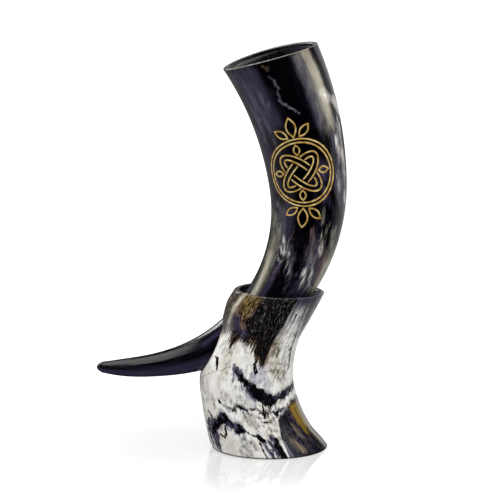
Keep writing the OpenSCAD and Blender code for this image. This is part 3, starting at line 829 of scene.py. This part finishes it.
hornShape = {
    "segments": 128,
    "ringStep": 0.0022,
    "upperLength": 0.1005, "upperRadius": 0.245,
    "bendLength": 0.1826, "bendRadius": 0.1268, "bendStart": math.radians(4.6),
    "tipLength": 0.057, "tipRadius": 0.195,
    "noseLength": 0.006,
    "mouthSlant": math.radians(12.5), "slantLength": 0.07,
    "rimRound": 0.0007, "rimDrop": 0.0002, "skin": 0.00002,  # kept just inside the CAD faces
    # place along the centre line, then radius
    "outside": [
        (0, 0.0348), (0.066, 0.0308), (0.131, 0.0263), (0.201, 0.0196), (0.256, 0.0130), (0.291, 0.0092),
        (0.319, 0.0067), (0.3341, 0.0045),
    ],
    "hollow": [(0, 0.0316), (0.060, 0.0276), (0.120, 0.0220), (0.165, 0.0156), (0.205, 0.0080)],
    "hollowNose": 0.009,
    "noseSteps": 12, "hollowSteps": 10, "lastAngle": math.radians(88),
    "taperStep": 0.0002,
    "rimSteps": 5, "rimDepth": 0.3,  # wall depth that materials read at the middle of the rim's edge
}
bendCentre = Vector(frame["joints"][0]["pos_m"])
bendEnd = hornShape["bendStart"] - hornShape["bendLength"] / hornShape["bendRadius"]
bendFirst = hornShape["upperLength"]
bendLast = bendFirst + hornShape["bendLength"]
mouthRadius = hornShape["outside"][0][1]


def hornRadius(s):
    return smoothCurve(hornShape["outside"], s)


def hollowRadius(s):
    return smoothCurve(hornShape["hollow"], s)


def outward(angle):
    return Vector((math.cos(angle), 0, math.sin(angle)))


def hornPoint(s, turn, radius):  # turn 0 is the outside of the bend, a quarter turn back is the front
    if s < bendFirst:
        reach, start = hornShape["upperRadius"], hornShape["bendStart"]
        angle = start + (bendFirst - s) / reach
    elif s < bendLast:
        reach, start = hornShape["bendRadius"], hornShape["bendStart"]
        angle = start - (s - bendFirst) / reach
    else:
        reach, start = hornShape["tipRadius"], bendEnd
        angle = start - (s - bendLast) / reach
    middle = bendCentre + (hornShape["bendRadius"] - reach) * outward(start) + reach * outward(angle)
    return middle + radius * (math.cos(turn) * outward(angle) + Vector((0, math.sin(turn), 0)))


def hornRing(at, inset=0, inside=False, depth=0):  # slanted near the mouth
    lean = max(0, 1 - at / hornShape["slantLength"]) ** 2
    slide = mouthRadius * math.tan(hornShape["mouthSlant"]) * lean
    radiusAt = hollowRadius if inside else hornRadius

    def pointAt(turn):
        s = at + slide * math.cos(turn)
        return hornPoint(s, turn, radiusAt(s) - inset), s, depth

    return pointAt


def noseRing(first, length, radius, taper, angle, depth=0):  # rounded end, with the taper carried on
    reach = length * math.sin(angle)
    s = first + reach
    size = (radius + taper * reach) * math.cos(angle)
    return lambda turn: (hornPoint(s, turn, size), s, depth)


def hollowRings(first, inset, depth):
    nose = hornShape["hollow"][-1][0]
    rings = [hornRing(s, inset, True, depth) for s in evenSteps(first, nose, hornShape["ringStep"])]
    size = hollowRadius(nose) - inset
    ends = quarterTurn(hornShape["hollowSteps"])[1:-1] + [hornShape["lastAngle"]]
    rings += [noseRing(nose, hornShape["hollowNose"] - inset, size, 0, angle, depth) for angle in ends]
    return rings


def makeHorn(material):
    noseStart = hornShape["outside"][-1][0]
    rimTop, rimRound, skin = hornShape["rimDrop"], hornShape["rimRound"], hornShape["skin"]
    step = hornShape["taperStep"]
    taper = (hornRadius(noseStart) - hornRadius(noseStart - step)) / step
    ends = [hornShape["lastAngle"]] + quarterTurn(hornShape["noseSteps"])[-2:0:-1]
    nose, size = hornShape["noseLength"] - skin, hornRadius(noseStart) - skin
    rings = [noseRing(noseStart, nose, size, taper, angle) for angle in ends]
    rings += [hornRing(s, skin) for s in evenSteps(noseStart, rimTop + rimRound, hornShape["ringStep"])]
    corners = quarterTurn(hornShape["rimSteps"])
    for angle in corners[1:]:
        back, depth = rimRound * (1 - math.cos(angle)) + skin, hornShape["rimDepth"] * math.sin(angle)
        rings.append(hornRing(rimTop + rimRound * (1 - math.sin(angle)), back, False, depth))
    for angle in reversed(corners):
        back, depth = rimRound * (math.cos(angle) - 1), 1 - hornShape["rimDepth"] * math.sin(angle)
        rings.append(hornRing(rimTop + rimRound * (1 - math.sin(angle)), back, True, depth))
    rings += hollowRings(rimTop + rimRound, 0, 1)[1:]
    bm, ring = newShell(hornShape["segments"], True)
    closeRing(bm, sweepRings(bm, ring, rings))
    makePiece(bm, "hornShell", material, "horn", "dark_horn", "horn_shell")


def makeLining(material):
    rings = list(reversed(hollowRings(lining["top"], -lining["bite"], 1)))
    for below, share in lining["edge"]:
        rings.append(hornRing(lining["top"] + below, lining["film"] * share, True, 1))
    rings += hollowRings(lining["top"] + lining["feather"], lining["film"], 1)
    bm, ring = newShell(hornShape["segments"], True)
    closeRing(bm, sweepRings(bm, ring, rings))
    makePiece(bm, "cupLining", material, "horn", "lining", "cup_lining")


# Gold lines of the ornament

ornament = {
    "along": 0.087,
    "turn": math.radians(-99),
    "ringRadius": 0.0255,
    "ringGap": 0.0027,
    "halfLine": 0.0006,
    "crown": 0.00013,  # how far the gold stands over the surface
    "root": 0.00045,
    "bandHalf": (0.0186, 0.0086),
    "bandWidth": 0.004,
    "bandGap": 0.0011,
    "rising": math.radians(45),
    "falling": math.radians(135),
    "petal": (0.0075, 0.0022),
    "petalStart": 0.0134,
    "middleLeaf": (0.0145, 0.0035),
    "sideLeaf": (0.0110, 0.0026),
    "sideLeafTurn": math.radians(50),
    "sideLeafOut": 0.0044,
    "leafStart": 0.0019,
    "pointStep": 0.0008,
    "sectionSides": 12,
    "sectionPower": 0.7,  # under 1 for steeper sides
    "endPoints": 3, "endShare": 0.3,  # points over which an open line narrows, and where it starts
}


def onHorn(place, height):  # across and up from the ornament's centre
    s = ornament["along"] - place.y
    radius = hornRadius(s)
    return hornPoint(s, ornament["turn"] + place.x / radius, radius + height)


def turned(place, angle):
    flat = Vector(place).to_2d()
    flat.rotate(Matrix.Rotation(angle, 2))
    return flat


def ringPath(radius):
    count = round(2 * math.pi * radius / ornament["pointStep"])
    return [turned((radius, 0), 2 * math.pi * k / count) for k in range(count)]


def leafPath(size, start, angle):  # pointed leaf from its start along an angle from straight up
    length, half = size
    shares = evenSteps(0, 1, ornament["pointStep"] / length)
    outline = [(4 * half * u * (1 - u), length * u) for u in shares]
    outline += [(-x, y) for x, y in reversed(outline[1:-1])]
    return [start + turned(place, -angle) for place in outline]


def meeting(oval, across):  # angle on an oval at which it meets another that lies square across it
    a, b = oval[0] ** -2, oval[1] ** -2
    c, d = across[1] ** -2, across[0] ** -2
    x = math.sqrt((b - d) / (b * c - a * d))
    y = math.sqrt((c - a) / (b * c - a * d))
    return math.atan2(y / oval[1], x / oval[0])


def bandPaths(turn):  # edge lines of one band of the knot, broken where it passes under the other
    outer = ornament["bandHalf"]
    inner = tuple(half - ornament["bandWidth"] for half in outer)
    paths = []
    for oval in (outer, inner):
        clear = 2 * ornament["bandGap"] / sum(oval)
        first = meeting(oval, inner) + clear
        last = meeting(oval, outer) + math.pi - clear
        for half in (0, math.pi):
            angles = evenSteps(first, last, ornament["pointStep"] / oval[0])
            spots = [(oval[0] * math.cos(t), oval[1] * math.sin(t)) for t in angles]
            paths.append([turned(spot, turn + half) for spot in spots])
    return paths


def petalPaths():
    quarters = [math.pi / 2 * k for k in range(4)]
    start = ornament["petalStart"]
    return [leafPath(ornament["petal"], turned((0, start), -angle), angle) for angle in quarters]


def leafPaths(angle):  # three leaves that stand on the outer ring
    foot = ornament["ringRadius"] + ornament["leafStart"]
    out = ornament["sideLeafOut"]
    paths = [leafPath(ornament["middleLeaf"], turned((0, foot), -angle), angle)]
    for side in (-1, 1):
        start = turned((side * out, math.sqrt(foot ** 2 - out ** 2)), -angle)
        paths.append(leafPath(ornament["sideLeaf"], start, angle + side * ornament["sideLeafTurn"]))
    return paths


def acrossLine(path, i, loop):  # half a line's width at a point, along the bisector at a corner
    last = len(path) - 1
    here = path[i]
    before = path[i - 1] if i or loop else 2 * path[0] - path[1]
    after = path[(i + 1) % len(path)] if i < last or loop else 2 * path[last] - path[last - 1]

    def square(first, second):
        way = (second - first).normalized()
        return Vector((-way.y, way.x))

    middle = (square(before, here) + square(here, after)).normalized()
    return middle * ornament["halfLine"] / middle.dot(square(here, after))


def goldLine(bm, path, loop):  # a bead with a low crown, swept along a path on the horn
    section = bm.verts.layers.float_vector["section"]
    sides = ornament["sectionSides"]
    circle = bmesh.ops.create_circle(bm, cap_ends=not loop, segments=sides, radius=1)["verts"]
    for vert in circle:
        rise = ornament["crown"] if vert.co.y > 0 else ornament["root"]
        flat = math.copysign(abs(vert.co.x) ** ornament["sectionPower"], vert.co.x)
        vert[section] = (flat, vert.co.y * rise, 0)
    ring = list(dict.fromkeys(edge for vert in circle for edge in vert.link_edges))
    first = ring
    ends = ornament["endPoints"]
    for i, spot in enumerate(path):
        across = acrossLine(path, i, loop)
        near = ends if loop else min(i, len(path) - 1 - i)
        size = math.sqrt(1 - (1 - min(near + ornament["endShare"], ends) / ends) ** 2)

        def place(vert):
            a, rise, _ = vert[section]
            vert.co = onHorn(spot + across * a * size, rise)

        if i == 0:
            for vert in circle:
                place(vert)
        else:
            ring = growEdges(bm, ring, place)
    if loop:
        bmesh.ops.bridge_loops(bm, edges=ring + first)
    else:
        bmesh.ops.contextual_create(bm, geom=ring)


def makeInlay(material, name, node, paths, loop):
    bm = bmesh.new()
    bm.verts.layers.float_vector.new("section")
    for path in paths:
        goldLine(bm, path, loop)
    bm.verts.layers.float_vector.remove(bm.verts.layers.float_vector["section"])
    makePiece(bm, name, material, "horn", "gold", node)


# Stand

standShape = {
    "segments": 160,
    "ringStep": 0.0022,
    "height": 0.1185,
    "rimLift": 0.0024,
    "footWall": 0.004, "rimWall": 0.0036,
    "rimRound": 0.0009, "footRound": 0.0006, "cornerSteps": 5,
    # height, then left edge, right edge and half depth
    "outline": [
        (0, Vector((-0.0429, 0.0429, 0.0400))),
        (0.005, Vector((-0.0452, 0.0390, 0.0388))),
        (0.015, Vector((-0.0474, 0.0306, 0.0372))),
        (0.032, Vector((-0.0504, 0.0222, 0.0352))),
        (0.054, Vector((-0.0522, 0.0171, 0.0332))),
        (0.080, Vector((-0.0434, 0.0207, 0.0314))),
        (0.097, Vector((-0.0355, 0.0292, 0.0304))),
        (0.109, Vector((-0.0320, 0.0356, 0.0298))),
        (0.1185, Vector((-0.0262, 0.0403, 0.0295))),
    ],
    "holeGap": 0.0006, "holeSpread": 0.0002,
    "holeFirst": 0.214, "holeLast": 0.286, "holePoints": 90, "holeHalvings": 40,
    "holeRound": 0.0010, "holeSteps": 4, "holeProbe": 0.05,
    "holeMargin": (math.radians(13), 0.008),  # clear wall kept round the hole for its collar of faces
    "collarSteps": (0.3, 0.55, 0.75, 0.9, 1),
}
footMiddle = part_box("stand_shell")[1].x - standShape["outline"][0][1].y


def wallAt(height):
    foot, rim = standShape["footWall"], standShape["rimWall"]
    return foot + (rim - foot) * height / standShape["height"]


def standLift(height):
    return standShape["rimLift"] / 2 * (height / standShape["height"]) ** 3


def standPoint(turn, height, inset):
    left, right, halfDepth = smoothCurve(standShape["outline"], height)
    x = footMiddle + (left + right) / 2 + ((right - left) / 2 - inset) * math.cos(turn)
    y = (halfDepth - inset) * math.sin(turn)
    return Vector((x, y, height - standLift(height) * math.cos(turn)))


def standPlace(point, inner):  # turn, height and how far a point lies outside the wall's face
    height = point.z
    for _ in range(3):  # the lift is small, so three rounds settle it
        left, right, halfDepth = smoothCurve(standShape["outline"], height)
        inset = wallAt(height) if inner else 0
        across = (point.x - footMiddle - (left + right) / 2) / ((right - left) / 2 - inset)
        deep = point.y / (halfDepth - inset)
        turn = math.atan2(deep, across)
        height = point.z + standLift(height) * math.cos(turn)
    return turn % (2 * math.pi), height, across ** 2 + deep ** 2 - 1


def holePoint(s, turn):  # the hole follows the horn's own bend and taper
    point = hornPoint(s, turn, hornRadius(s) + standShape["holeGap"])
    point.y += standShape["holeSpread"] * math.sin(turn)
    return point


def holeOutline(inner):  # turns and heights at which the hole comes through one face of the wall
    outline = []
    count = standShape["holePoints"]
    for k in range(count):
        turn = 2 * math.pi * k / count
        near, far = standShape["holeFirst"], standShape["holeLast"]
        for _ in range(standShape["holeHalvings"]):
            middle = (near + far) / 2
            if standPlace(holePoint(middle, turn), inner)[2] < 0:
                near = middle
            else:
                far = middle
        outline.append(standPlace(holePoint(near, turn), inner)[:2])
    return outline


class HoleRim:  # the hole's edge on one face, as a distance from its centre for each direction
    def __init__(self, inner):
        self.inner = inner
        outline = holeOutline(inner)
        turns, heights = zip(*outline)
        self.centre = ((min(turns) + max(turns)) / 2, (min(heights) + max(heights)) / 2)
        self.half = ((max(turns) - min(turns)) / 2, (max(heights) - min(heights)) / 2)
        polar = sorted(self.polar(*spot) for spot in outline)
        before, after = polar[-1], polar[0]
        whole = 2 * math.pi
        self.table = [(before[0] - whole, before[1]), *polar, (after[0] + whole, after[1])]

    def polar(self, turn, height):
        x = (turn - self.centre[0]) / self.half[0]
        y = (height - self.centre[1]) / self.half[1]
        return math.atan2(y, x), math.hypot(x, y)

    def reach(self, angle):
        for (before, low), (after, high) in zip(self.table, self.table[1:]):
            if before <= angle <= after:
                return low + (high - low) * (angle - before) / (after - before)

    def place(self, angle, reach):
        x = self.centre[0] + self.half[0] * reach * math.cos(angle)
        y = self.centre[1] + self.half[1] * reach * math.sin(angle)
        return x, y

    def point(self, angle, reach):
        turn, height = self.place(angle, reach)
        return standPoint(turn, height, wallAt(height) if self.inner else 0)


def cutHole(bm):  # opens both faces of the wall, then draws a collar and a rounded edge to the hole
    grain = bm.verts.layers.float_vector["grain"]
    depth = bm.verts.layers.float["depth"]
    tag = bm.verts.layers.int.new("tag")
    rims = [HoleRim(False), HoleRim(True)]
    turnRoom, heightRoom = standShape["holeMargin"]
    low = min(rim.centre[1] - rim.half[1] for rim in rims) - heightRoom
    high = max(rim.centre[1] + rim.half[1] for rim in rims) + heightRoom
    halfTurn = max(rim.half[0] for rim in rims) + turnRoom

    def inPatch(vert):
        turn = turnOf(vert, grain) % (2 * math.pi)
        return abs(turn - math.pi) < halfTurn and low < vert[grain].z < high

    patch = [face for face in bm.faces if all(inPatch(vert) for vert in face.verts)]
    bmesh.ops.delete(bm, geom=patch, context="FACES")
    edges = [edge for edge in bm.edges if edge.is_boundary]
    loops = []
    for inner, rim in enumerate(rims):
        loop = [edge for edge in edges if all(round(vert[depth]) == inner for vert in edge.verts)]
        starts = []
        for k, vert in enumerate(vertsOf(loop)):
            vert[tag] = k
            starts.append(rim.polar(turnOf(vert, grain) % (2 * math.pi), vert[grain].z))
        other = rims[1 - inner]
        roundness, probe = standShape["holeRound"], standShape["holeProbe"]
        edgePoints = []
        for angle, _ in starts:
            reach = rim.reach(angle)
            edge = rim.point(angle, reach)
            away = rim.point(angle, reach * (1 + probe)) - edge
            share = roundness / away.length * probe
            through = (other.point(angle, other.reach(angle)) - edge).normalized()
            edgePoints.append((reach * (1 + share), edge, away.normalized(), through))

        def collar(t):
            def place(vert):
                angle, start = starts[vert[tag]]
                reach = start + (edgePoints[vert[tag]][0] - start) * t
                turn, height = rim.place(angle, reach)
                vert.co = rim.point(angle, reach)
                vert[grain] = (math.cos(turn), math.sin(turn), height)
            return place

        def rounded(angle):
            def place(vert):
                _, edge, away, through = edgePoints[vert[tag]]
                vert.co = edge + roundness * ((1 - math.sin(angle)) * away + (1 - math.cos(angle)) * through)
            return place

        for t in standShape["collarSteps"]:
            loop = growEdges(bm, loop, collar(t))
        for angle in quarterTurn(standShape["holeSteps"])[1:]:
            loop = growEdges(bm, loop, rounded(angle))
        loops += loop
    bmesh.ops.bridge_loops(bm, edges=loops)
    bm.verts.layers.int.remove(tag)


def standRing(height, inset):
    def pointAt(turn):
        return standPoint(turn, height, inset), height, inset / wallAt(height)
    return pointAt


def makeStand(material):
    top, rimRound, footRound = standShape["height"], standShape["rimRound"], standShape["footRound"]
    heights = evenSteps(footRound, top - rimRound, standShape["ringStep"])
    corners = quarterTurn(standShape["cornerSteps"])
    rings = [standRing(footRound * (1 - math.cos(a)), footRound * (1 - math.sin(a))) for a in corners[:-1]]
    rings += [standRing(z, 0) for z in heights]
    for a in corners[1:]:
        rings.append(standRing(top - rimRound * (1 - math.sin(a)), rimRound * (1 - math.cos(a))))
    for a in reversed(corners[1:]):
        z = top - rimRound * (1 - math.sin(a))
        rings.append(standRing(z, wallAt(z) - rimRound * (1 - math.cos(a))))
    rings += [standRing(z, wallAt(z)) for z in reversed(heights)]
    for a in reversed(corners[:-1]):
        z = footRound * (1 - math.cos(a))
        rings.append(standRing(z, wallAt(z) - footRound * (1 - math.sin(a))))
    bm, ring = newShell(standShape["segments"], False)
    lastRing = sweepRings(bm, ring, rings)
    bmesh.ops.bridge_loops(bm, edges=ring + lastRing)
    cutHole(bm)
    makePiece(bm, "standShell", material, "stand", "marbled_horn", "stand_shell")


# Assembly

goldFinish = goldMaterial()
makeHorn(darkHornMaterial())
makeLining(liningMaterial())
makeStand(marbledHornMaterial())
outerRing = ornament["ringRadius"]
makeInlay(goldFinish, "outerRingInlay", "inlay_outer_ring", [ringPath(outerRing)], True)
makeInlay(goldFinish, "innerRingInlay", "inlay_inner_ring", [ringPath(outerRing - ornament["ringGap"])], True)
makeInlay(goldFinish, "risingBandInlay", "inlay_rising_loop", bandPaths(ornament["rising"]), False)
makeInlay(goldFinish, "fallingBandInlay", "inlay_falling_loop", bandPaths(ornament["falling"]), False)
makeInlay(goldFinish, "petalInlay", "inlay_petals", petalPaths(), True)
makeInlay(goldFinish, "upperLeafInlay", "inlay_upper_leaves", leafPaths(0), True)
makeInlay(goldFinish, "lowerLeafInlay", "inlay_lower_leaves", leafPaths(math.pi), True)


# Studio

studio = {
    "aim": Vector((0.021563, 0, 0.148783)),
    "pitch": math.radians(10.9376),
    "distance": 2.037,
    "lens": 199.0,
    "floorSize": 6,
    "floorDrop": 0.0001,
    "shadeTone": (0.15, 0.15, 0.15, 1),  # how strongly the table shows shadows
    "plainTone": (0.7, 0.7, 0.7, 1),
    "whiteLevel": (0.40, 0.79),  # added away from the object, and under it
    "contact": (0.05, 0.22),
    "mirrorFront": (-0.26, -0.04, 0.23), "mirrorBack": (0.10, 0.03), "mirrorRoughness": 0.03,
    # where reflections see the table white: its span from left to right, from front to back, and its level
    "whiteTable": [
        (-0.12, -0.30, -0.60, -0.20, 0.25), (-0.50, -1.00, -0.60, -0.20, 0.30),
        (-0.02, 0.12, -0.10, 0.20, 0.50),
    ],
    "whiteTableEnd": (1.2, 0.8),
    # cards in the sky that only reflections see: where each fades in along a direction, and to what level
    "skyCards": [
        [("sideways", 0.20, 0.10), ("up", 0.22, 0.24), ("up", 0.32, 0.30), ("back", 0.80, 0.90)],
        [("right", 0.20, 0.45), ("back", 0.15, 0.40), ("up", 0.24, 0.14, 0.3)],
        [("right", 0.05, 0.25), ("back", 0.74, 0.86), ("up", 0.40, 0.30, 0.55)],
        [("right", -0.25, -0.55), ("back", 0.25, 0.50), ("up", 0.35, 0.20, 0.15)],
    ],
    "skyForDiffuse": 0.10,
    "skyForGloss": 0.01,
    # place, what it points at, width, height, radiance, colour
    "softboxes": [
        ((0.08, -0.19, 1.08), (0.08, -0.19, 0.0), 1.7, 1.48, 2.6, (1.0, 1.0, 1.0)),
        ((-2.650, 0.515, 1.06), (0.0, -0.02, 0.13), 0.55, 0.55, 7.5, (1.0, 0.98, 0.92)),
        ((-2.540, 0.920, 0.56), (0.0, -0.02, 0.13), 0.50, 0.50, 4.0, (1.0, 0.98, 0.92)),
        ((-2.340, 1.350, 0.45), (0.0, 0.0, 0.15), 3.1, 0.90, 0.15, (1.0, 0.99, 0.96)),
        ((-0.527, 0.643, 0.49), (-0.02, 0.0, 0.11), 0.24, 0.24, 8.0, (0.97, 0.96, 1.0)),
        ((0.420, 0.0, 0.322), (0.05, -0.02, 0.270), 0.20, 0.11, 4.5, (1.0, 0.95, 0.84)),
        ((0.795, -0.420, 0.37), (0.04, 0.0, 0.26), 0.30, 0.26, 1.2, (1.0, 0.97, 0.95)),
    ],
    # the same, but out of sight in reflections
    "fill": ((-0.5, -2.1, 1.1), (0.02, 0.0, 0.12), 2.4, 1.8, 1.0, (1.0, 1.0, 1.0)),
}


def makeSoftbox(place, target, width, height, radiance, colour):
    lamp = bpy.data.lights.new("softbox", "AREA")
    lamp.shape = "RECTANGLE"
    lamp.size, lamp.size_y = width, height
    lamp.energy = radiance * math.pi * width * height
    lamp.color = colour
    box = bpy.data.objects.new("softbox", lamp)
    box.location = place
    box.rotation_euler = (Vector(target) - Vector(place)).to_track_quat("-Z", "Y").to_euler()
    scene.collection.objects.link(box)
    return box


def makeCamera():
    lens = bpy.data.cameras.new("camera")
    lens.lens = studio["lens"]
    camera = bpy.data.objects.new("camera", lens)
    back = Vector((0, -math.cos(studio["pitch"]), math.sin(studio["pitch"])))
    camera.location = studio["aim"] + back * studio["distance"]
    camera.rotation_euler = (-back).to_track_quat("-Z", "Y").to_euler()
    scene.collection.objects.link(camera)
    scene.camera = camera


def floorMaterial():  # white to the camera, with the shadow and a faint mirror in front of the object
    material, tree = newMaterial("whiteTable")
    tree.nodes.remove(tree.nodes["Principled BSDF"])
    rays = addNode(tree, "LightPath").outputs
    spot = made(tree, "TexCoord", output="Object")
    right, back = separate(spot)[:2]
    clear = made(tree, "VectorMath", [spot], "Value", operation="LENGTH").fade(*studio["contact"])
    gleam = back.fade(*studio["mirrorFront"]) * back.fade(*studio["mirrorBack"])
    white = made(tree, "Emission", {"Strength": clear.timesPlus(*studio["whiteLevel"]) - gleam})
    shade = made(tree, "BsdfDiffuse", {"Color": studio["shadeTone"]})
    shine = made(tree, "CombineColor", [gleam, gleam, gleam])
    mirror = made(tree, "BsdfGlossy", {"Color": shine, "Roughness": studio["mirrorRoughness"]})
    seen = made(tree, "AddShader", [white, made(tree, "AddShader", [shade, mirror])])
    first, second, third = [
        right.fade(near, far, level) * back.fade(front, rear) * back.fade(*studio["whiteTableEnd"])
        for near, far, front, rear, level in studio["whiteTable"]
    ]
    glow = made(tree, "Emission", {"Strength": first + second + third})
    plain = made(tree, "BsdfDiffuse", {"Color": studio["plainTone"]})
    other = made(tree, "MixShader", [Value(rays["Is Glossy Ray"]), plain, glow])
    both = made(tree, "MixShader", [Value(rays["Is Camera Ray"]), other, seen])
    plug(tree.nodes["Material Output"].inputs["Surface"], both)
    return material


def makeFloor():
    bm = bmesh.new()
    bmesh.ops.create_grid(bm, x_segments=1, y_segments=1, size=studio["floorSize"] / 2)
    mesh = bpy.data.meshes.new("floor")
    bm.to_mesh(mesh)
    bm.free()
    mesh.materials.append(floorMaterial())
    floor = bpy.data.objects.new("floor", mesh)
    floor.location.z = -studio["floorDrop"]
    scene.collection.objects.link(floor)


def makeWorld():  # white to the camera, dim to the object
    world = bpy.data.worlds.new("studio")
    world.use_nodes = True
    scene.world = world
    tree = world.node_tree
    rays = addNode(tree, "LightPath").outputs
    right, back, up = separate(made(tree, "TexCoord", output="Generated"))
    ways = {"right": right, "back": back, "up": up, "sideways": right.calc("ABSOLUTE")}
    cards = [product([ways[way].fade(*limits) for way, *limits in card]) for card in studio["skyCards"]]
    gloss = most(*cards) + studio["skyForGloss"]
    strength = made(tree, "Mix", {0: Value(rays["Is Glossy Ray"]), 2: studio["skyForDiffuse"], 3: gloss})
    strength = made(tree, "Mix", {0: Value(rays["Is Camera Ray"]), 2: strength, 3: 1.0})
    sky = tree.nodes["Background"].inputs
    plug(sky["Color"], (1, 1, 1, 1))
    plug(sky["Strength"], strength)


makeCamera()
makeFloor()
makeWorld()
for softbox in studio["softboxes"]:
    makeSoftbox(*softbox)
makeSoftbox(*studio["fill"]).visible_glossy = False
scene.view_settings.view_transform = "Standard"
print("studio ready")
